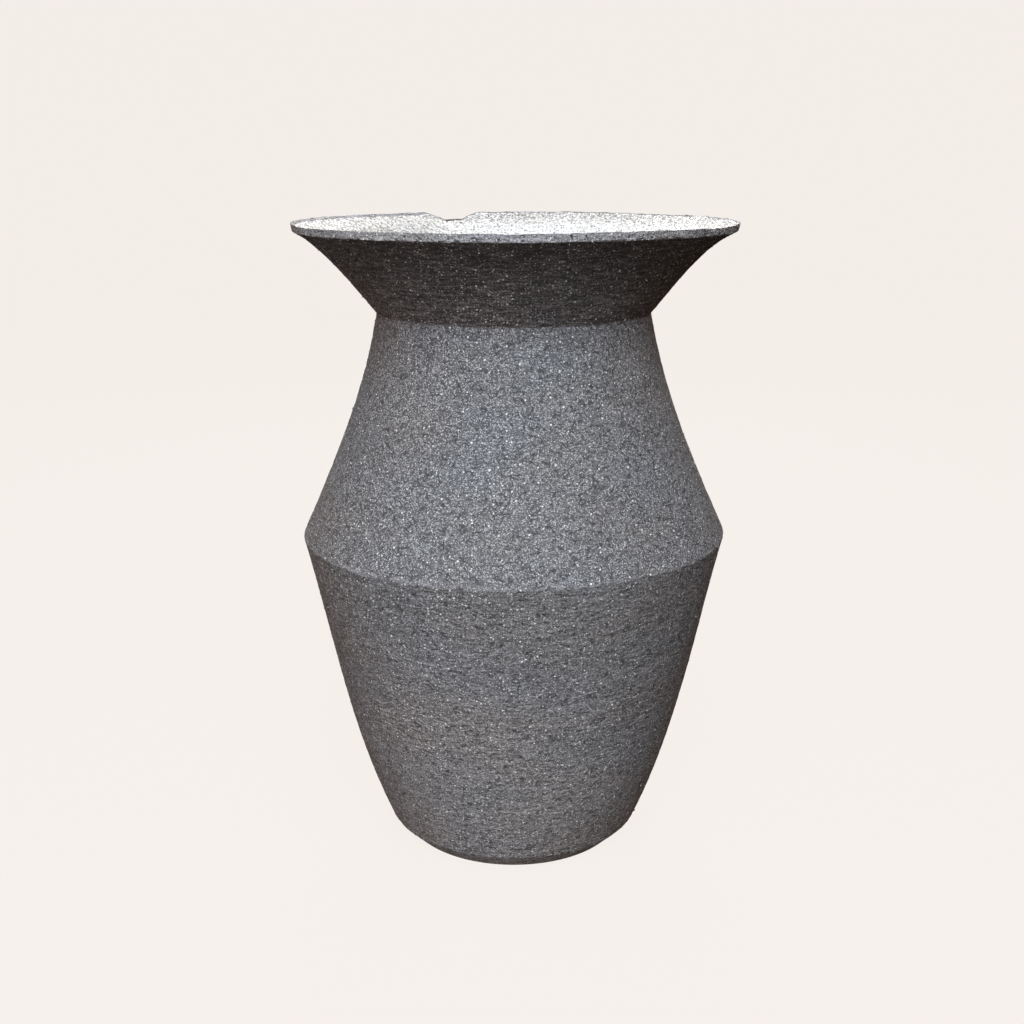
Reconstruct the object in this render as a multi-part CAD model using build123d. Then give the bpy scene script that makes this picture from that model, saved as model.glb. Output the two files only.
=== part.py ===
from build123d import *
import os

# A hand-built stoneware vase: a conical lower wall on a small undercut foot, a sloping shoulder, and a
# wide flared collar with a cut rim. The inside is glazed white from the rim down.
#
# The clay pieces are luted together with slip while leather-hard and then fired. Every joint between
# two walls is a sloping lap with a thin ring of slip in it, wiped over on the outside, and a coil of
# clay is pressed into each inner corner. Every piece is a ring about +Z: it is drawn as a
# cross-section, with x the radius and y the height, and revolved. The origin is the middle of the
# foot, on the ground. Millimetres.

# Outside
HEIGHT = 400.0
FOOT_R = 71.7
BEVEL_OUT = 11.2  # the lower wall stands out this far past the foot
BEVEL_Z = 10.9
BELLY_R = 135.2
BELLY_Z = 205.8
NECK_R = 85.5
NECK_Z = 345.4
RIM_R = 135.6  # upper edge of the cut rim
RIM_CUT = (-0.8, 4.4)  # the cut face runs this far out and down from the upper edge

# How far each wall bows out of straight, as its curve's two handles, lower one first
LOWER_BOW = (10.1, 1.4)
SHOULDER_BOW = (-4.1, -8.4)
COLLAR_BOW = (-1.8, -5.8)

# Rounding of the corners, as the length taken from the wall on each side
BELLY_EASE = 0.9
NECK_EASE = 0.6
THROAT_EASE = 6.0

# Thickness of the walls, measured level
BASE_WALL = 9.4
BELLY_WALL = 7.3
NECK_WALL = 6.9
THROAT_RISE = 0.9  # the throat's edge is this much higher than the crease outside

# Joints
SLIP_T = 0.8
SMEAR = 1.5  # clay wiped over the outer edge of each slip ring
LAP_SLOPE = 1.0  # rise of a lap for each millimetre inwards
BELLY_LAP = 7.0  # where each lap meets the outer face, measured down the wall from the corner above
NECK_LAP = 5.5
FLOOR_COIL = (13.0, 1.6)  # reach of each coil from its corner, and how hollow its face is
BELLY_COIL = (15.0, 0.6)

GLAZE_T = 0.6
GLAZE_DROP = 1.0  # bare clay left between the glaze and the cut rim

FLOOR_T = BEVEL_Z - SLIP_T
FOOT = (FOOT_R, 0)
ARRIS = (FOOT_R + BEVEL_OUT, BEVEL_Z)
BELLY = (BELLY_R, BELLY_Z)
CREASE = (NECK_R, NECK_Z)
LIP = (RIM_R + RIM_CUT[0], HEIGHT - RIM_CUT[1])
RIM = (RIM_R, HEIGHT)
FAR = 1.5 * HEIGHT  # beyond every piece, for the faces that only cut


def bowed(start, end, bow):
    """A wall's curve from start up to end, with handles that stand outside the straight line by bow."""
    start, end = Vector(*start), Vector(*end)
    outward = (end - start).normalized().rotate(Axis.Z, -90)
    handles = [start + (end - start) * (i + 1) / 3 + outward * bow[i] for i in range(2)]
    return Bezier(start, *handles, end)


def cut_back(lower, upper, reach):
    """Two curves that meet at a corner, each cut short of it by reach."""
    return lower.trim(0, 1 - reach / lower.length), upper.trim(reach / upper.length, 1)


def eased(lower, upper, reach):
    """Two curves that meet at a corner, and between them a curve that rounds the corner."""
    corner = lower @ 1
    lower, upper = cut_back(lower, upper, reach)
    return lower, Bezier(lower @ 1, corner, upper @ 0), upper


def coiled(lower, upper, coil):
    """Two curves that meet at an inner corner, and between them the hollow face of a pressed coil."""
    reach, hollow = coil
    lower, upper = cut_back(lower, upper, reach)
    return lower, SagittaArc(lower @ 1, upper @ 0, -hollow), upper


def outer_curves():
    """The outside of the lower wall, shoulder and collar, meeting at sharp corners."""
    return bowed(ARRIS, BELLY, LOWER_BOW), bowed(BELLY, CREASE, SHOULDER_BOW), bowed(CREASE, LIP, COLLAR_BOW)


def outer_face():
    """The cross-section of the vase as if it were solid."""
    lower, shoulder, collar = outer_curves()
    lower, ridge, shoulder = eased(lower, shoulder, BELLY_EASE)
    shoulder, crease, collar = eased(shoulder, collar, NECK_EASE)
    rest = Polyline(LIP, RIM, (0, HEIGHT), (0, 0), FOOT, ARRIS)
    return make_face([lower, ridge, shoulder, crease, collar, *rest.edges()])


def hollow_face(skin=0.0, coils=False):
    """The cross-section of the inside, drawn skin away from the clay, with or without the coils."""
    floor_end = (ARRIS[0] - BASE_WALL - skin, FLOOR_T + skin)
    belly = (BELLY_R - BELLY_WALL - skin, BELLY_Z)
    throat = (NECK_R - NECK_WALL - skin, NECK_Z + THROAT_RISE)
    rim = (RIM_R - skin * 2**0.5, HEIGHT)
    floor = Line((0, floor_end[1]), floor_end)
    lower = bowed(floor_end, belly, LOWER_BOW)
    shoulder = bowed(belly, throat, SHOULDER_BOW)
    shoulder, edge, collar = eased(shoulder, bowed(throat, rim, COLLAR_BOW), THROAT_EASE)
    corners = []
    if coils:
        floor, floor_coil, lower = coiled(floor, lower, FLOOR_COIL)
        lower, belly_coil, shoulder = coiled(lower, shoulder, BELLY_COIL)
        corners = [floor_coil, belly_coil]
    rest = Polyline(rim, (0, HEIGHT), floor @ 0)
    return make_face([floor, lower, shoulder, edge, collar, *corners, *rest.edges()])


def block(r, low, high):
    """Everything within the radius r between two heights."""
    return make_face(Polyline((0, low), (r, low), (r, high), (0, high), close=True))


def above(r, z):
    """Everything above the sloping line of a lap that meets the outer face at (r, z)."""
    at_axis, at_far = (0, z + r * LAP_SLOPE), (FAR, z - (FAR - r) * LAP_SLOPE)
    return make_face(Polyline(at_axis, at_far, (FAR, FAR), (0, FAR), close=True))


def slip_band(r, z):
    """The ring of slip in that lap, short of the outer face."""
    return block(r - SMEAR, 0, FAR) & (above(r, z) - above(r, z + SLIP_T))


def clay_sections():
    """The cross-section of each clay and slip piece, foot to rim."""
    clay = outer_face() - hollow_face()
    lower, shoulder, _ = outer_curves()
    belly_lap = lower @ (1 - BELLY_LAP / lower.length)
    neck_lap = shoulder @ (1 - NECK_LAP / shoulder.length)
    over_belly, belly_slip = above(belly_lap.X, belly_lap.Y), slip_band(belly_lap.X, belly_lap.Y)
    over_neck, neck_slip = above(neck_lap.X, neck_lap.Y), slip_band(neck_lap.X, neck_lap.Y)
    floor = block(FAR, 0, FLOOR_T)
    floor_slip = block(ARRIS[0] - SMEAR, FLOOR_T, BEVEL_Z)
    return {
        "floor_slab": clay & floor,
        "floor_seam_slip": clay & floor_slip,
        "lower_wall": clay - floor - floor_slip - over_belly,
        "belly_seam_slip": clay & belly_slip,
        "shoulder_wall": (clay & over_belly) - belly_slip - over_neck,
        "neck_seam_slip": clay & neck_slip,
        "collar_wall": (clay & over_neck) - neck_slip,
    }


def lining_sections():
    """The cross-section of each coil and of the glaze over the whole inside."""
    clear = hollow_face(coils=True)
    floor_coil, belly_coil = (hollow_face() - clear).faces().sort_by(Axis.Y)
    return {
        "floor_fillet_coil": floor_coil,
        "belly_fillet_coil": belly_coil,
        "interior_glaze": (clear - hollow_face(GLAZE_T, coils=True)) & block(FAR, 0, HEIGHT - GLAZE_DROP),
    }


os.makedirs("parts", exist_ok=True)
for name, section in (clay_sections() | lining_sections()).items():
    export_step(revolve(Plane.XZ * section, Axis.Z), f"parts/{name}.step")
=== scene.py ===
"""A black stoneware vase, coarse with pale grog outside and glazed white inside, on a pale studio floor.

Each clay wall, and the glaze, is a fine mesh of rings round the vase's axis. One warp, the small
unevenness of a hand-made pot, bends all the pieces alike, so they stay in contact. Metres.
"""
import itertools
import math

import bpy
import numpy as np
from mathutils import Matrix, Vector


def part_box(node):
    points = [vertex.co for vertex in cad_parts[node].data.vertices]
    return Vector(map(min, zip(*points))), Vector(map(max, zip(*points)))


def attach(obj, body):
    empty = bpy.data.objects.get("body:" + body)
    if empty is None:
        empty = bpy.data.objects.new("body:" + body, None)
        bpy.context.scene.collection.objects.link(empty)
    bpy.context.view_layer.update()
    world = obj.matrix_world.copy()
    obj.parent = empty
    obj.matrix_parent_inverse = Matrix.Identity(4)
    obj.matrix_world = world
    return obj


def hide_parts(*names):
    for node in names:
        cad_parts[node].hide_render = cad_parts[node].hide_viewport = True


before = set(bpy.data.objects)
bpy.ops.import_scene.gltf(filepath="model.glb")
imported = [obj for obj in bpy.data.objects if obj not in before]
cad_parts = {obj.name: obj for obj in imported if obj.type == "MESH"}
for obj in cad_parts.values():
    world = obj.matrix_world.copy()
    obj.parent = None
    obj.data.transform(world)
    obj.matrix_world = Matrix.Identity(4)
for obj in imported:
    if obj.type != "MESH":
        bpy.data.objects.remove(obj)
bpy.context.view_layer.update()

MM = 0.001

# The outline of the CAD walls: corners as (radius, height), then how far the two handles of each
# wall's curve stand out of the straight line between its corners
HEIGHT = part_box("collar_wall")[1].z
FLOOR_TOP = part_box("floor_slab")[1].z
FOOT = (71.7 * MM, 0)
ARRIS = (82.9 * MM, 10.9 * MM)
BELLY = (135.2 * MM, 205.8 * MM)
CREASE = (85.5 * MM, 345.4 * MM)
LIP = (134.8 * MM, HEIGHT - 4.4 * MM)
RIM = (135.6 * MM, HEIGHT)
LOWER_BOW = (10.1 * MM, 1.4 * MM)
SHOULDER_BOW = (-4.1 * MM, -8.4 * MM)
COLLAR_BOW = (-1.8 * MM, -5.8 * MM)
BELLY_EASE = 0.9 * MM  # how far from its corner a rounding starts
NECK_EASE = 0.6 * MM
THROAT_EASE = 6 * MM

# The inside. A coil reaches that far from its corner, and its face is hollow by that much
FLOOR_END = (73.5 * MM, FLOOR_TOP)
BELLY_IN = (127.9 * MM, BELLY[1])
THROAT = (78.6 * MM, CREASE[1] + 0.9 * MM)
FLOOR_COIL = (13 * MM, 1.6 * MM)
BELLY_COIL = (15 * MM, 0.6 * MM)
GLAZE_T = 0.6 * MM
GLAZE_DROP = 1.4 * MM  # from the rim down to the glaze's edge

# The joints between the walls
BELLY_LAP = 7 * MM  # along the outer face, from the ridge down to the joint
NECK_LAP = 5.5 * MM
SLIP_T = 0.8 * MM
SMEAR = 1.5 * MM  # the thickness of the clay smeared over a joint outside

# Meshes: columns round the vase, and the step from ring to ring
WALL_COLUMNS = 660
COLLAR_COLUMNS = 800
GLAZE_COLUMNS = 480
FINE = 1.25 * MM
HIDDEN = 8 * MM
UNDERSIDE = 6 * MM
GLAZE_SEEN = 1.3 * MM
GLAZE_DEEP = 4.2 * MM
GLAZE_BACK = 7 * MM
BARE_STRIP = (4.2 * MM, 0.7 * MM)  # how far it goes down from the rim, and its step
BEVEL_ROWS = 11
CUT_ROWS = 5
CURVE_POINTS = 241


# ---------------------------------------------------------------- outlines


def bezier(*handles):
    """Points along a Bezier curve."""
    t = np.linspace(0, 1, CURVE_POINTS)[:, None]
    n = len(handles) - 1
    return sum(math.comb(n, i) * (1 - t) ** (n - i) * t**i * np.array(h) for i, h in enumerate(handles))


def bowed(start, end, bow):
    """A wall's curve from start up to end, with handles that stand outside the straight line by bow."""
    start, end = np.array(start), np.array(end)
    run = (end - start) / np.linalg.norm(end - start)
    outward = np.array([run[1], -run[0]])
    handles = [start + (end - start) * (i + 1) / 3 + outward * bow[i] for i in range(2)]
    return bezier(start, *handles, end)


def reaches(path):
    """How far along the path each of its points is."""
    return np.concatenate([[0], np.cumsum(np.linalg.norm(np.diff(path, axis=0), axis=1))])


def stretch(path, start, end, step):
    """Evenly spaced points of the path between two distances along it."""
    s = np.linspace(start, end, max(2, round(abs(end - start) / step) + 1))
    return np.stack([np.interp(s, reaches(path), path[:, k]) for k in (0, 1)], axis=1)


def cut_back(lower, upper, reach):
    """Two curves that meet at a corner, each cut short of it by reach."""
    low, up = reaches(lower)[-1], reaches(upper)[-1]
    return stretch(lower, 0, low - reach, 0.5 * MM), stretch(upper, reach, up, 0.5 * MM)


def joined(lower, upper, reach, bend):
    """One path along two curves that meet at a corner, which a curve through the point bend replaces."""
    lower, upper = cut_back(lower, upper, reach)
    return np.vstack([lower, bezier(lower[-1], bend(lower[-1], upper[0]), upper[0])[1:-1], upper])


def eased(lower, upper, reach):
    """The corner rounded off."""
    corner = lower[-1]
    return joined(lower, upper, reach, lambda a, b: corner)


def coiled(lower, upper, coil):
    """The corner filled by a pressed coil with a slightly hollow face."""
    reach, hollow = coil

    def bend(a, b):
        run = (b - a) / np.linalg.norm(b - a)
        return (a + b) / 2 + np.array([run[1], -run[0]]) * 2 * hollow

    return joined(lower, upper, reach, bend)


def nearest(path, point):
    """The distance along the path to its point that is nearest to a given one."""
    return reaches(path)[np.argmin(np.linalg.norm(path - np.array(point), axis=1))]


def outside():
    """The outer face, from the arris over the foot up to the lower edge of the cut rim."""
    lower = bowed(ARRIS, BELLY, LOWER_BOW)
    shoulder = bowed(BELLY, CREASE, SHOULDER_BOW)
    collar = bowed(CREASE, LIP, COLLAR_BOW)
    return eased(eased(lower, shoulder, BELLY_EASE), collar, NECK_EASE)


def inside(skin=0.0, coils=False):
    """The inner face, from the floor's edge (or with coils, from the axis) up to the rim."""
    corner = (FLOOR_END[0] - skin, FLOOR_END[1] + skin)
    belly = (BELLY_IN[0] - skin, BELLY_IN[1])
    throat = (THROAT[0] - skin, THROAT[1])
    lower, shoulder = bowed(corner, belly, LOWER_BOW), bowed(belly, throat, SHOULDER_BOW)
    collar = bowed(throat, (RIM[0] - skin * 2**0.5, RIM[1]), COLLAR_BOW)
    if not coils:
        return eased(np.vstack([lower, shoulder[1:]]), collar, THROAT_EASE)
    floor = np.array([(0, corner[1]), corner])
    lower = coiled(floor, lower, FLOOR_COIL)
    return eased(coiled(lower, shoulder, BELLY_COIL), collar, THROAT_EASE)


# ---------------------------------------------------------------- unevenness

TILE = 64  # cells after which a random field repeats


def random_field(seed, across, up=None):
    """A smooth random field through space, from -1 to 1, with cells of that size level and up."""
    table = np.random.default_rng(seed).uniform(-1, 1, (TILE,) * 3)
    up = up or across
    size = np.array([across, across, up])

    def field(points):
        p = points / size + 0.37 * seed  # so that the fields' cells don't line up
        cell = np.floor(p).astype(int)
        f = p - cell
        f = f * f * (3 - 2 * f)
        total = 0
        for corner in itertools.product((0, 1), repeat=3):
            weight = np.prod(np.where(corner, f, 1 - f), axis=1)
            i, j, k = ((cell + np.array(corner)) % TILE).T
            total = total + weight * table[i, j, k]
        return total

    return field


def ramp(x, low, high):
    """0 below low, 1 above high, and smooth between."""
    t = np.clip((x - low) / (high - low), 0, 1)
    return t * t * (3 - 2 * t)


OUT_OF_ROUND = random_field(1, 170 * MM)
OUT_OF_ROUND_BY = 0.003  # as a share of the radius
BULGE = random_field(2, 90 * MM, 60 * MM)
BULGE_BY = 0.0025
SHRINK = 0.0015
RIM_WAVE = random_field(3, 60 * MM)
RIM_WAVE_BY = 0.6 * MM
RIM_CHATTER = random_field(4, 4 * MM)
RIM_CHATTER_BY = 0.4 * MM
DENT_AT = math.radians(109.4)  # the dent in the rim, behind and a little left
DENT_FLAT, DENT_HALF = math.radians(1.7), math.radians(8.6)
DENT_DEPTH = 4.6 * MM
RIM_SHIFT = 1.2 * MM  # the rim's edge stands this far to the right of the foot
RIM_TILT = (0.002, -0.0075)  # the rim's rise to the right, and away from the viewer
RIM_FLARE = 1.3 * MM  # the rim's edge turns out by this much more
RIDGE_TILT = 0.0085  # the belly ridge runs up to the right
RIDGE_REACH = 70 * MM  # how far above and below the ridge its tilt fades


def warp(points):
    """The whole vase's unevenness: not quite round, a tilted belly ridge, and a tilted, dented rim."""
    x, y, z = points.T
    uneven = OUT_OF_ROUND_BY * OUT_OF_ROUND(points) + BULGE_BY * BULGE(points) - SHRINK
    grow = 1 + ramp(z, 0, 40 * MM) * uneven
    at_rim = ramp(z, HEIGHT - 16 * MM, HEIGHT - 1 * MM)
    edge = ramp(z, HEIGHT - 7 * MM, HEIGHT - 4 * MM)
    collar = np.clip((z - CREASE[1]) / (HEIGHT - CREASE[1]), 0, 1)
    turn = (np.arctan2(y, x) - DENT_AT + math.pi) % (2 * math.pi) - math.pi
    dent = at_rim * DENT_DEPTH * (1 - ramp(abs(turn), DENT_FLAT, DENT_HALF))
    flare = RIM_FLARE * ramp(z, HEIGHT - 10 * MM, HEIGHT - 3 * MM)
    grow += (flare - dent) / np.hypot(x, y).clip(RIM[0] / 2)  # the dent slides down the flared wall
    lift = at_rim * RIM_WAVE_BY * RIM_WAVE(points) - dent + edge * RIM_CHATTER_BY * RIM_CHATTER(points)
    lift += collar * (RIM_TILT[0] * x + RIM_TILT[1] * y)
    lift += RIDGE_TILT * x * np.exp(-(((z - BELLY[1]) / RIDGE_REACH) ** 2))
    return np.stack([x * grow + at_rim * RIM_SHIFT, y * grow, z + lift], axis=1)


RIPPLE = random_field(5, 70 * MM, 14 * MM)
SCRAPE = random_field(6, 11 * MM, 2.4 * MM)
PEBBLE = random_field(7, 4.2 * MM, 3.1 * MM)
GRIT = random_field(8, 2.8 * MM)
TEAR = random_field(9, 9 * MM, 2.3 * MM)
PIT = random_field(10, 4.3 * MM)


def clay_relief(points):
    """How far the rough clay stands out of its smooth outline: scraped level, pebbly and torn."""
    z = points[:, 2]
    on_shoulder = ramp(z, BELLY[1] - 4 * MM, BELLY[1] + 6 * MM)
    on_shoulder *= 1 - ramp(z, CREASE[1] - 6 * MM, CREASE[1])
    relief = 0.06 * RIPPLE(points)  # in mm, until the end
    relief += (0.06 - 0.02 * on_shoulder) * SCRAPE(points)
    relief += (0.06 + 0.08 * on_shoulder) * PEBBLE(points)
    relief += (0.10 + 0.05 * on_shoulder) * GRIT(points)
    relief -= 0.22 * ramp(TEAR(points), 0.42, 0.62)
    relief -= 0.35 * ramp(PIT(points), 0.55, 0.8)
    return relief * MM


GLAZE_DIMPLE = random_field(11, 3.6 * MM)
GLAZE_SWELL = random_field(12, 11 * MM)


def glaze_relief(points):
    """The glaze follows the clay loosely: dimpled, with soft swells."""
    return (0.13 * GLAZE_DIMPLE(points) + 0.12 * GLAZE_SWELL(points)) * MM


# ---------------------------------------------------------------- meshes


def added(name, data):
    """A new object in the scene."""
    thing = bpy.data.objects.new(name, data)
    bpy.context.scene.collection.objects.link(thing)
    return thing


def finish_mesh(name, verts, faces, node, material, sharp=None):
    """A mesh object, smooth apart from corners sharper than so many degrees. It stands for a CAD node
    if one is named."""
    mesh = bpy.data.meshes.new(name)
    mesh.from_pydata(verts.tolist(), [], faces)
    mesh.shade_smooth()
    if sharp:
        mesh.set_sharp_from_angle(angle=math.radians(sharp))
    mesh.materials.append(material)
    piece = added(name, mesh)
    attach(piece, "root")
    if node:
        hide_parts(node)
    return piece


def turned(loop, columns):
    """A cross-section's points carried round the axis: an array of columns by points by xyz."""
    angle = np.linspace(0, 2 * math.pi, columns, endpoint=False)[:, None]
    r, z = loop[:, 0], loop[:, 1]
    return np.stack([np.cos(angle) * r, np.sin(angle) * r, np.broadcast_to(z, (columns, len(z)))], axis=2)


def outward(loop):
    """Unit normals to the right of the way the loop runs."""
    run = np.gradient(loop, axis=0)
    run /= np.linalg.norm(run, axis=1, keepdims=True) + 1e-12
    return np.stack([run[:, 1], -run[:, 0]], axis=1)


def ring_faces(columns, count, on_axis):
    """Faces between neighbouring columns of count points. Where the ends of the columns lie on the
    axis, all columns use the first one's two end points."""
    here = np.arange(columns)[:, None] * count
    there = np.roll(here, -1, axis=0)
    low = np.arange(count - 1 if on_axis else count)[None, :]
    high = (low + 1) % count
    quads = np.stack([here + low, there + low, there + high, here + high], axis=2)
    if not on_axis:
        return quads.reshape(-1, 4).tolist()
    shared = np.arange(columns * count)
    shared[0::count] = 0
    shared[count - 1 :: count] = count - 1
    quads = shared[quads]
    first_fan, last_fan = quads[:, 0, [0, 2, 3]], quads[:, -1, [0, 1, 3]]
    return quads[:, 1:-1].reshape(-1, 4).tolist() + first_fan.tolist() + last_fan.tolist()


def ring_piece(name, node, parts, columns, relief, material, creep=None):
    """Rings round the axis. parts are stretches of the cross-section in order, each with how much of
    the relief it takes. The section has the outside on its right all the way, and closes on itself or
    has both its ends on the axis."""
    loop = np.vstack([points for points, _ in parts])
    amount = np.concatenate([np.broadcast_to(share, len(points)) for points, share in parts])
    base = turned(loop, columns)
    height = relief(base.reshape(-1, 3)).reshape(columns, len(loop)) * amount
    grid = base + turned(outward(loop), columns) * height[:, :, None]
    if creep:
        grid = grid + creep(base, loop)
    faces = ring_faces(columns, len(loop), on_axis=np.isclose(loop[0, 0], 0))
    return finish_mesh(name, warp(grid.reshape(-1, 3)), faces, node, material, sharp=45)


def inner_end(lap):
    """How far along the inner face a lap reaches it: the lap rises inwards as steeply as it runs."""
    return np.interp(sum(lap), INSIDE.sum(axis=1), reaches(INSIDE))


def lap_step(lap):
    """The upper wall's own part of a lap, from the inside out: over the slip, then over the smear."""
    r, z = lap[0] - SMEAR, lap[1] + SMEAR
    return np.array([(r, z + SLIP_T), (r, z)])


def outer_rows(start, end, corner):
    """The outer face from one distance along it to another, with closer rows over a corner."""
    low, high = corner - 2 * MM, corner + 2 * MM
    parts = [stretch(OUTSIDE, start, low, FINE), stretch(OUTSIDE, low, high, FINE / 2.5)[1:]]
    return np.vstack([*parts, stretch(OUTSIDE, high, end, FINE)[1:]])


OUTSIDE = outside()
INSIDE = inside()

# Distances along the outer face, and the points of it where the laps begin
S_LIP = reaches(OUTSIDE)[-1]
S_BELLY = nearest(OUTSIDE, BELLY)
S_CREASE = nearest(OUTSIDE, CREASE)
S_BELLY_LAP = S_BELLY - BELLY_LAP
S_NECK_LAP = S_CREASE - NECK_LAP
BELLY_POINT = stretch(OUTSIDE, S_BELLY_LAP, S_BELLY_LAP, 1)[0]
NECK_POINT = stretch(OUTSIDE, S_NECK_LAP, S_NECK_LAP, 1)[0]


def make_floor(material):
    """The slab: flat below, with the undercut bevel round it."""
    share = (FLOOR_TOP - FOOT[1]) / (ARRIS[1] - FOOT[1])
    edge = (FOOT[0] + (ARRIS[0] - FOOT[0]) * share, FLOOR_TOP)
    under = stretch(np.array([(0, 0), FOOT]), 0, FOOT[0], UNDERSIDE)
    bevel = np.linspace(FOOT, edge, BEVEL_ROWS + 1)[1:]
    top = stretch(np.array([edge, (0, FLOOR_TOP)]), UNDERSIDE, edge[0], HIDDEN)
    parts = [(under, 0), (bevel, np.linspace(0, 1, BEVEL_ROWS)), (top, 0)]
    return ring_piece("floor", "floor_slab", parts, WALL_COLUMNS, clay_relief, material)


def make_lower_wall(material):
    """The lower wall, from the arris over the foot up to the lap under the belly ridge."""
    slope = (ARRIS[0] - FOOT[0]) / (ARRIS[1] - FOOT[1])
    low_edge = (ARRIS[0] - slope * (ARRIS[1] - FLOOR_TOP), FLOOR_TOP)
    face = stretch(OUTSIDE, 0, S_BELLY_LAP, FINE)
    back = stretch(INSIDE, inner_end(BELLY_POINT), 0.8 * MM, HIDDEN)
    foot = np.array([(ARRIS[0] - SMEAR, ARRIS[1]), (ARRIS[0] - SMEAR, FLOOR_TOP), low_edge])
    parts = [(face, 1), (back, 0), (foot, np.array([0, 0, 1]))]
    return ring_piece("lower_body", "lower_wall", parts, WALL_COLUMNS, clay_relief, material)


def make_shoulder(material):
    """The shoulder, with the belly ridge as its lower edge."""
    face = outer_rows(S_BELLY_LAP, S_NECK_LAP, S_BELLY)
    low_end = inner_end(BELLY_POINT + np.array([0, SLIP_T]))
    back = stretch(INSIDE, inner_end(NECK_POINT), low_end, HIDDEN)
    parts = [(face, 1), (back, 0), (lap_step(BELLY_POINT), 0)]
    return ring_piece("shoulder", "shoulder_wall", parts, WALL_COLUMNS, clay_relief, material)


def make_collar(material):
    """The flared collar with its cut rim, and the bare strip of clay above the glaze."""
    face = outer_rows(S_NECK_LAP, S_LIP, S_CREASE)
    cut = np.linspace(LIP, RIM, CUT_ROWS + 1)[1:]
    top = reaches(INSIDE)[-1]
    reach, step = BARE_STRIP
    strip = stretch(INSIDE, top - step, top - reach, step)
    low_end = inner_end(NECK_POINT + np.array([0, SLIP_T]))
    back = stretch(INSIDE, top - 10 * MM, low_end, HIDDEN)
    calming = np.linspace(0.6, 0, len(strip))
    parts = [(face, 1), (cut, 0.8), (strip, calming), (back, 0), (lap_step(NECK_POINT), 0)]
    return ring_piece("collar", "collar_wall", parts, COLLAR_COLUMNS, clay_relief, material)


GLAZE_EDGE = random_field(13, 6 * MM)
GLAZE_WANDER = 0.9 * MM  # how far the edge strays up and down
GLAZE_SAG = 1.5 * MM  # on the left it stops this much lower
COLLAR_WAY = (0.72, 0.69)  # outwards and up, the way the collar runs near the rim


def make_glaze(material):
    """The glaze over the whole inside, with a ragged edge just under the rim."""
    visible, hidden = inside(GLAZE_T, True), inside(0, True)
    end, back_end = reaches(visible)[-1] - GLAZE_DROP, reaches(hidden)[-1] - GLAZE_DROP
    throat = nearest(visible, THROAT) - 12 * MM
    back = stretch(hidden, 0, back_end, GLAZE_BACK)
    near = stretch(visible, end, throat, GLAZE_SEEN)
    deep = stretch(visible, throat, 0, GLAZE_DEEP)[1:]

    def creep(base, loop):
        """Moves the edge up and down the collar's face."""
        near_edge = ramp(loop[:, 1], HEIGHT - 5 * MM, HEIGHT - GLAZE_DROP)
        wander = GLAZE_WANDER * GLAZE_EDGE(base.reshape(-1, 3)).reshape(base.shape[:2])
        sag = GLAZE_SAG * ramp(-base[:, :, 0], 10 * MM, 90 * MM)
        along = ((wander - sag) * near_edge)[:, :, None]
        radial = base[:, :, :2] / (np.linalg.norm(base[:, :, :2], axis=2, keepdims=True) + 1e-9)
        return np.concatenate([radial * along * COLLAR_WAY[0], along * COLLAR_WAY[1]], axis=2)

    parts = [(back, 0), (near, 1), (deep, 1)]
    return ring_piece(
        "glaze", "interior_glaze", parts, GLAZE_COLUMNS, glaze_relief, material, creep
    )


def make_hidden(node, material):
    """A slip ring or coil as the CAD has it, bent by the same warp as the walls round it."""
    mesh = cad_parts[node].data
    verts = np.array([v.co for v in mesh.vertices])
    faces = [list(p.vertices) for p in mesh.polygons]
    return finish_mesh(node.replace("_", "-"), warp(verts), faces, node, material, sharp=30)


# ---------------------------------------------------------------- grog


GROG_LEAST, GROG_SPREAD, GROG_MOST = 0.18 * MM, 0.12 * MM, 0.65 * MM  # the radius of a grain


def icosahedron():
    """Vertices and faces of a unit icosahedron."""
    g = (1 + 5**0.5) / 2
    signs = itertools.product((-1, 1), (-g, g))
    verts = np.array([p for a, b in signs for p in ((0, a, b), (a, b, 0), (b, 0, a))])
    near = np.linalg.norm(verts[:, None] - verts[None], axis=2) < 2.1  # its edges are 2 long
    faces = []
    for a, b, c in itertools.combinations(range(12), 3):
        if near[a, b] and near[b, c] and near[a, c]:
            turn = np.cross(verts[b] - verts[a], verts[c] - verts[a]) @ verts[a]
            faces.append((a, b, c) if turn > 0 else (a, c, b))
    return verts / np.linalg.norm(verts[0]), faces


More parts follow.
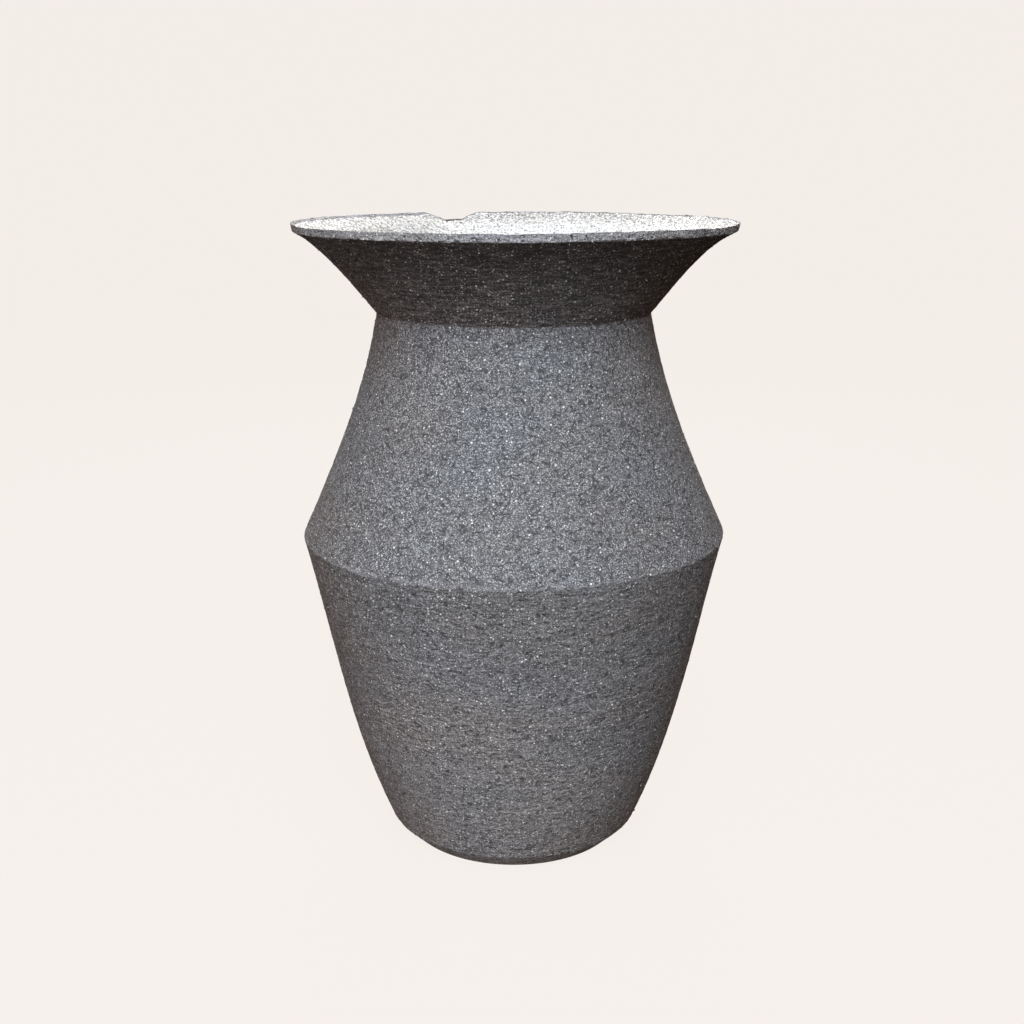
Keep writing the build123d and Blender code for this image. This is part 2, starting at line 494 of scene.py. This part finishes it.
def make_grog(wall, count, seed, material):
    """Pale angular grains half sunk in a wall's outer face, many small and a few large."""
    rng = np.random.default_rng(seed)
    mesh = wall.data
    co, normal = (np.zeros(len(mesh.vertices) * 3) for _ in range(2))
    mesh.vertices.foreach_get("co", co)
    mesh.vertex_normals.foreach_get("vector", normal)
    co, normal = co.reshape(-1, 3), normal.reshape(-1, 3)
    radius = np.linalg.norm(co[:, :2], axis=1)
    inner = np.interp(co[:, 2], INSIDE[:, 1], INSIDE[:, 0])
    outer = np.flatnonzero((radius > inner + 2.5 * MM) & (co[:, 2] > 1 * MM))  # not the inside or base
    chosen = rng.choice(outer, count, replace=False)
    size = (GROG_LEAST + GROG_SPREAD * rng.exponential(1, count)).clip(GROG_LEAST, GROG_MOST)
    shape, tri = icosahedron()
    stone = shape[None] * rng.uniform(0.6, 1.4, (count, 12, 1))
    stone *= rng.uniform(0.55, 1.4, (count, 1, 3))
    spin = np.linalg.qr(rng.normal(size=(count, 3, 3)))[0]
    spin *= np.sign(np.linalg.det(spin))[:, None, None]
    stone = np.einsum("nvk,nkl->nvl", stone, spin) * size[:, None, None]
    centre = co[chosen] - normal[chosen] * size[:, None] * rng.uniform(0.05, 0.5, (count, 1))
    verts = (stone + centre[:, None]).reshape(-1, 3)
    faces = (np.array(tri)[None] + len(shape) * np.arange(count)[:, None, None]).reshape(-1, 3).tolist()
    piece = finish_mesh(wall.name + "_grog", verts, faces, None, material)
    piece.data.shade_flat()
    return piece


# ---------------------------------------------------------------- materials


class Nodes:
    """A node tree, with short calls to add and join nodes."""

    def __init__(self, tree, place="Object"):
        self.tree = tree
        self.place = self.add("ShaderNodeTexCoord").outputs[place]

    def add(self, kind, inputs=None, **settings):
        """A new node. Each input is a value, or another node's output to join."""
        node = self.tree.nodes.new(kind)
        for key, value in settings.items():
            setattr(node, key, value)
        for key, value in (inputs or {}).items():
            if isinstance(value, bpy.types.NodeSocket):
                self.tree.links.new(value, node.inputs[key])
            else:
                node.inputs[key].default_value = value
        return node

    def math(self, operation, a, b):
        """An operation on two values."""
        return self.add("ShaderNodeMath", {0: a, 1: b}, operation=operation).outputs[0]

    def spread(self, value, low, high, out_low=0.0, out_high=1.0):
        """value from low to high, as out_low to out_high, smooth and held at the ends."""
        inputs = {"Value": value, "From Min": low, "From Max": high, "To Min": out_low, "To Max": out_high}
        return self.add("ShaderNodeMapRange", inputs, interpolation_type="SMOOTHSTEP").outputs[0]

    def product(self, *values):
        """Values and outputs multiplied together."""
        total = values[0]
        for value in values[1:]:
            total = self.math("MULTIPLY", total, value)
        return total

    def scaled(self, across, up):
        """The place in cells of that size, level and up."""
        scale = (1 / across, 1 / across, 1 / up)
        return self.add("ShaderNodeVectorMath", {0: self.place, 1: scale}, operation="MULTIPLY").outputs[0]

    def noise(self, across, up=None, detail=2.0, rough=0.5):
        """Noise from 0 to 1 with lumps of about that size."""
        inputs = {"Vector": self.scaled(across, up or across), "Scale": 1.0}
        inputs |= {"Detail": detail, "Roughness": rough}
        return self.add("ShaderNodeTexNoise", inputs).outputs["Fac"]

    def grains(self, across, up, skew):
        """Packed grains of random brightness from 0 to 1, darker between them. The higher the skew the
        fewer are bright."""
        node = self.add("ShaderNodeTexVoronoi", {"Vector": self.scaled(across, up), "Scale": 1.0})
        chance = self.add("ShaderNodeSeparateColor", {0: node.outputs["Color"]}).outputs[0]
        middle = self.spread(node.outputs["Distance"], 0.25, 0.75, 1.0, 0.25)
        return self.product(self.math("POWER", chance, skew), middle)

    def specks(self, across, share, radius, seed):
        """1 in ragged spots of about that radius at a share of scattered points, 0 elsewhere. Cells are
        across wide, and the radius is in cells."""
        shift = self.add("ShaderNodeVectorMath", {0: self.scaled(across, across), 1: (seed, seed, seed)})
        node = self.add("ShaderNodeTexVoronoi", {"Vector": shift.outputs[0], "Scale": 1.0})
        split = self.add("ShaderNodeSeparateColor", {0: node.outputs["Color"]})
        picked = self.math("LESS_THAN", split.outputs[0], share)
        reach = self.spread(split.outputs[1], 0.0, 1.0, radius * 0.5, radius)
        ragged = self.product(self.noise(across * 0.4), radius)
        inside = self.math("SUBTRACT", self.math("ADD", reach, ragged), node.outputs["Distance"])
        return self.product(picked, self.spread(inside, radius * 0.4, radius * 0.6))

    def crevices(self, across, up, width):
        """1 in thin crevices between cells of that size, 0 elsewhere. The width is in cells."""
        inputs = {"Vector": self.scaled(across, up), "Scale": 1.0}
        node = self.add("ShaderNodeTexVoronoi", inputs, feature="DISTANCE_TO_EDGE")
        return self.spread(node.outputs["Distance"], width, width * 0.4)

    def lerp(self, share, a, b):
        """Value a, and b where share is 1."""
        return self.add("ShaderNodeMix", {"Factor": share, "A": a, "B": b}).outputs[0]

    def scale_colour(self, value, colour):
        """A colour times a value."""
        return self.add("ShaderNodeVectorMath", {0: colour, "Scale": value}, operation="SCALE").outputs[0]

    def mix(self, share, a, b):
        """Colour a, and b where share is 1."""
        node = self.add("ShaderNodeMix", {"Factor": share}, data_type="RGBA")
        for socket, value in ((node.inputs[6], a), (node.inputs[7], b)):
            if isinstance(value, bpy.types.NodeSocket):
                self.tree.links.new(value, socket)
            else:
                socket.default_value = (*value, 1)
        return node.outputs[2]

    def bump(self, height, distance):
        """A normal bent as if the surface rose by the distance where the height is 1."""
        inputs = {"Height": height, "Distance": distance, "Strength": 1.0}
        return self.add("ShaderNodeBump", inputs).outputs[0]


class Surface(Nodes):
    """A new material and its nodes."""

    def __init__(self, name):
        self.material = bpy.data.materials.new(name)
        self.material.use_nodes = True
        super().__init__(self.material.node_tree)
        self.shader = self.tree.nodes["Principled BSDF"]

    def give(self, **inputs):
        """Sets or joins the shader's inputs, named with _ for a space."""
        for key, value in inputs.items():
            socket = self.shader.inputs[key.replace("_", " ")]
            if isinstance(value, bpy.types.NodeSocket):
                self.tree.links.new(value, socket)
            else:
                socket.default_value = value


CLAY = (0.177, 0.172, 0.176)
WARM_CLAY = (0.186, 0.172, 0.167)
COLLAR_CLAY = (0.186, 0.164, 0.158)
# the painted shade inside the cracks
CRACK_SHADE = (0.03, 0.028, 0.028)
CLAY_DUST = (0.50, 0.49, 0.47)
GROG = (0.72, 0.70, 0.66)

# Painted light and shade: how many times as bright as its colour each wall is made, to stand in for how
# the light falls on it. A pair is for the wall's foot and its top
LOWER_PAINTED_LIGHT = (1.36, 1.08)
SHOULDER_LEVEL = 1.13
COLLAR_PAINTED_SHADE = (0.52, 0.32)
CUT_PAINTED_LIGHT = 2.3


def clay_zones(n):
    """Where the clay changes, each from 0 to 1: above the belly ridge, on the collar, and on the cut
    face of the rim."""
    x, y, z = n.add("ShaderNodeSeparateXYZ", {0: n.place}).outputs
    over_ridge = n.spread(z, BELLY[1] - 2 * MM, BELLY[1] + 3 * MM)
    on_collar = n.spread(z, CREASE[1] - 1 * MM, CREASE[1] + 2 * MM)
    tilt = n.math("ADD", n.product(x, RIM_TILT[0]), n.product(y, RIM_TILT[1]))
    on_cut = n.spread(n.math("SUBTRACT", z, tilt), LIP[1] - 0.5 * MM, LIP[1] + 0.1 * MM)
    return over_ridge, on_collar, on_cut


def clay_painted_light(n, over_ridge, on_collar, on_cut):
    """Painted light and shade: how bright the clay is made at each height, with soft large patches of
    random tone.
    """
    z = n.add("ShaderNodeSeparateXYZ", {0: n.place}).outputs[2]
    # painted light: the lower wall is made lighter toward its foot, as if lit from below
    lower = n.spread(z, 0.0, BELLY[1], *LOWER_PAINTED_LIGHT)
    # painted shade: the collar is made darker from the neck up toward the rim, where its overhang is in
    # shade
    collar = n.spread(z, CREASE[1], HEIGHT - 12 * MM, *COLLAR_PAINTED_SHADE)
    level = n.lerp(on_collar, n.lerp(over_ridge, lower, SHOULDER_LEVEL), collar)
    patches = n.spread(n.noise(45 * MM, 30 * MM, detail=3), 0.3, 0.7, 0.97, 1.03)
    # painted light: the rim's cut face is made this much brighter
    return n.product(n.lerp(on_cut, level, CUT_PAINTED_LIGHT), patches)


def clay_material():
    """Black fired clay: grainy and torn on the shoulder, dragged level on the other walls, peppered
    with pale grog and browner on the collar. Painted light makes it lighter toward the foot and on the
    rim's cut face, and painted shade darkens the collar toward the rim and fills its cracks."""
    n = Surface("black clay")
    over_ridge, on_collar, on_cut = clay_zones(n)
    dragged = n.math("SUBTRACT", 1.0, n.math("SUBTRACT", over_ridge, on_collar))
    under_cut = n.math("SUBTRACT", on_collar, on_cut)

    round_grain = n.grains(0.63 * MM, 0.60 * MM, skew=2.6)
    long_grain = n.grains(0.70 * MM, 0.60 * MM, skew=3.0)
    drag = n.spread(n.noise(12 * MM, 1.2 * MM, detail=3, rough=0.6), 0.42, 0.64)
    dragged_grain = n.lerp(n.lerp(on_collar, 0.14, 0.22), long_grain, drag)
    grain = n.lerp(dragged, round_grain, dragged_grain)
    lumps = n.spread(n.noise(2.4 * MM, 1.9 * MM), 0.34, 0.66)
    short_crack = n.crevices(3.4 * MM, 2.4 * MM, width=0.12)
    long_crack = n.crevices(5.0 * MM, 1.5 * MM, width=0.15)
    cracked = n.spread(n.noise(4 * MM, 3 * MM, detail=3), n.lerp(dragged, 0.46, 0.56), 0.61)
    crack = n.product(n.lerp(dragged, short_crack, long_crack), cracked)
    dust = n.specks(1.5 * MM, n.lerp(on_collar, 0.36, 0.55), radius=0.30, seed=3.1)
    grog = n.specks(2.5 * MM, n.lerp(dragged, 0.31, 0.5), radius=0.235, seed=7.7)

    contrast = n.lerp(on_cut, n.lerp(on_collar, 2.6, 3.8), 1.3)
    shade = n.math("ADD", n.spread(lumps, 0.0, 1.0, 0.32, 0.42), n.product(grain, contrast))
    streak = n.spread(n.noise(9 * MM, 0.9 * MM), 0.38, 0.58, 0.55, 1.25)
    # painted light and shade, by height
    level = clay_painted_light(n, over_ridge, on_collar, on_cut)
    shade = n.product(shade, n.lerp(under_cut, 1.0, streak), level)
    clouds = n.spread(n.noise(90 * MM, 55 * MM, detail=3), 0.38, 0.68)
    colour = n.mix(under_cut, n.mix(clouds, CLAY, WARM_CLAY), COLLAR_CLAY)
    colour = n.scale_colour(shade, colour)
    # painted shade: the cracks are painted near black, as the shade inside them
    colour = n.mix(n.product(crack, 0.8), colour, CRACK_SHADE)
    colour = n.mix(n.product(dust, 0.8), colour, CLAY_DUST)
    colour = n.mix(grog, colour, GROG)

    height = n.math("ADD", grain, n.product(lumps, 0.8))
    height = n.math("ADD", height, n.product(n.math("MAXIMUM", dust, grog), 0.5))
    height = n.math("SUBTRACT", height, crack)
    rough = n.spread(grain, 0.0, 1.0, 0.8, 0.6)
    n.give(Base_Color=colour, Roughness=rough, Specular_IOR_Level=0.5, Normal=n.bump(height, 0.4 * MM))
    return n.material


def grog_material():
    """Pale fired chamotte, each grain a little different."""
    n = Surface("pale chamotte")
    tone = n.noise(2.0 * MM, detail=1)
    colour = n.mix(n.spread(tone, 0.35, 0.65), (0.20, 0.19, 0.18), (0.62, 0.60, 0.56))
    n.give(Base_Color=colour, Roughness=0.75, Normal=n.bump(n.noise(0.5 * MM), 0.3 * MM))
    return n.material


GLAZE = ((0.615, 0.595, 0.56), (0.665, 0.65, 0.63))  # where it is duller, and where it is whiter
THIN_GLAZE = (0.20, 0.17, 0.145)
IRON_SPECKS = (  # cell size, the share of cells that have one, its radius in cells, seed, colour
    (2.4 * MM, 0.6, 0.32, 1.7, (0.09, 0.075, 0.065)),
    (1.6 * MM, 0.45, 0.36, 4.3, (0.20, 0.175, 0.16)),
    (6.5 * MM, 0.40, 0.18, 8.9, (0.05, 0.045, 0.045)),
)


def glaze_material():
    """White glaze, thin and brownish over the high grains, most of all near the rim and on the left,
    with dark iron specks bleeding through."""
    n = Surface("white glaze")
    x, _, z = n.add("ShaderNodeSeparateXYZ", {0: n.place}).outputs
    near_rim = n.spread(z, HEIGHT - 14 * MM, HEIGHT - 2 * MM)
    thinner = n.math("MAXIMUM", near_rim, n.spread(x, 0.0, -90 * MM))
    colour = n.mix(n.spread(n.noise(20 * MM, detail=3), 0.35, 0.7), *GLAZE)
    low, high = n.lerp(thinner, 0.54, 0.46), n.lerp(thinner, 0.65, 0.56)
    thin = n.spread(n.noise(1.7 * MM, detail=4, rough=0.7), low, high)
    colour = n.mix(n.product(thin, n.lerp(thinner, 0.45, 0.85)), colour, THIN_GLAZE)
    for across, share, radius, seed, ink in IRON_SPECKS:
        colour = n.mix(n.product(n.specks(across, share, radius, seed), 0.75), colour, ink)
    n.give(Base_Color=colour, Roughness=n.spread(thin, 0.0, 1.0, 0.42, 0.6), Specular_IOR_Level=0.3)
    n.give(Normal=n.bump(thin, -0.2 * MM))
    return n.material


# ---------------------------------------------------------------- stage


SWEEP_FLAT, SWEEP_BEND, SWEEP_TOP = 4.0, 2.0, 6.0  # where the floor turns up, its bend, and its height
SWEEP_COLUMNS = 96
AIM = (0, 0, 0.22)  # the middle of the vase, where the lights point
FAR, BROAD = 1.6, 0.7  # most softboxes' distance and size
LIGHTS = (  # name, compass turn and rise in degrees, distance, size, power in watts, colour
    ("key", -90, 42, FAR, BROAD, 31, (0.85, 1.0, 1.14)),
    ("left", -135, -12, FAR, BROAD, 5.5, (1.05, 0.98, 0.98)),
    ("top", -90, 68, FAR, BROAD, 7.5, (0.9, 1.0, 1.08)),
    ("behind", 90, 35, FAR, BROAD, 14, (1, 1, 1)),
    ("bounce", -90, -45, 0.31, 0.2, 0.06, (1, 1, 1)),
)
DOME_RISE = (-0.1, 0.15)  # from where to where the dome's light grows
DOME_STRENGTH = (0.03, 0.30)
DOME_COLOUR = (1.36, 0.97, 0.74, 1)
LENS, SENSOR = 48.0, 36.0  # in mm
CAMERA_AT = (-1.1 * MM, -856.7 * MM, 447.4 * MM)
CAMERA_PITCH = 15.19  # degrees down


def sweep_material():
    """A pale surface that the lights don't change."""
    n = Surface("pale sweep")
    n.give(Base_Color=(0.02, 0.02, 0.02, 1), Roughness=1.0, Specular_IOR_Level=0.0)
    n.give(Emission_Color=(0.913, 0.863, 0.823, 1), Emission_Strength=0.98)
    return n.material


def make_stage():
    """A pale floor that turns up into a backdrop far away all round."""
    turn = np.linspace(0, math.pi / 2, 24)
    bend = SWEEP_BEND * np.stack([np.sin(turn), 1 - np.cos(turn)], axis=1) + (SWEEP_FLAT, 0)
    flat = np.linspace((0.02, 0), (SWEEP_FLAT, 0), 30)
    path = np.vstack([flat, bend[1:], [(SWEEP_FLAT + SWEEP_BEND, SWEEP_TOP)]])
    count = len(path)
    faces = [list(range(0, SWEEP_COLUMNS * count, count))]
    for i, j in itertools.product(range(SWEEP_COLUMNS), range(count - 1)):
        here, there = i * count + j, (i + 1) % SWEEP_COLUMNS * count + j
        faces.append([here, here + 1, there + 1, there])
    mesh = bpy.data.meshes.new("sweep")
    mesh.from_pydata(turned(path, SWEEP_COLUMNS).reshape(-1, 3).tolist(), [], faces)
    mesh.shade_smooth()
    mesh.materials.append(sweep_material())
    sweep = added("sweep", mesh)
    sweep.visible_diffuse = False
    sweep.visible_glossy = False
    sweep.visible_shadow = False


def softbox(name, turn, rise, distance, size, power, colour):
    """A square soft light aimed at the vase. turn and rise say where it stands, seen from the vase."""
    light = bpy.data.lights.new(name, "AREA")
    light.shape, light.size, light.energy, light.color = "SQUARE", size, power, colour
    lamp = added(name, light)
    turn, rise = math.radians(turn), math.radians(rise)
    way = Vector((math.cos(rise) * math.cos(turn), math.cos(rise) * math.sin(turn), math.sin(rise)))
    lamp.location = Vector(AIM) + way * distance
    lamp.rotation_euler = way.to_track_quat("Z", "Y").to_euler()
    lamp.visible_camera = False


def make_dome():
    """Soft warm light from all round, strong above the horizon and faint below it."""
    world = bpy.data.worlds.new("studio")
    world.use_nodes = True
    bpy.context.scene.world = world
    world.node_tree.nodes.clear()
    n = Nodes(world.node_tree, "Generated")
    z = n.add("ShaderNodeSeparateXYZ", {0: n.place}).outputs[2]
    strength = n.spread(z, *DOME_RISE, *DOME_STRENGTH)
    glow = n.add("ShaderNodeBackground", {"Color": DOME_COLOUR, "Strength": strength})
    n.add("ShaderNodeOutputWorld", {"Surface": glow.outputs[0]})


def make_camera():
    """The viewpoint: a little above the rim, looking down by the pitch."""
    data = bpy.data.cameras.new("camera")
    data.sensor_width = SENSOR
    data.lens = LENS
    camera = added("camera", data)
    camera.location = CAMERA_AT
    camera.rotation_euler = (math.radians(90 - CAMERA_PITCH), 0, 0)
    bpy.context.scene.camera = camera


# ---------------------------------------------------------------- the scene

WALLS = ((make_floor, 500), (make_lower_wall, 3600), (make_shoulder, 3000), (make_collar, 2200))
GROG_SEED = 20

clay = clay_material()
chamotte = grog_material()
walls = [(make_wall(clay), grains) for make_wall, grains in WALLS]
for seed, (wall, grains) in enumerate(walls, GROG_SEED):
    make_grog(wall, grains, seed, chamotte)
make_glaze(glaze_material())
for coil in ("floor_fillet_coil", "belly_fillet_coil"):
    make_hidden(coil, clay)
for slip in ("floor_seam_slip", "belly_seam_slip", "neck_seam_slip"):
    make_hidden(slip, clay)

make_stage()
make_dome()
for light in LIGHTS:
    softbox(*light)
make_camera()
bpy.context.scene.view_settings.view_transform = "Standard"
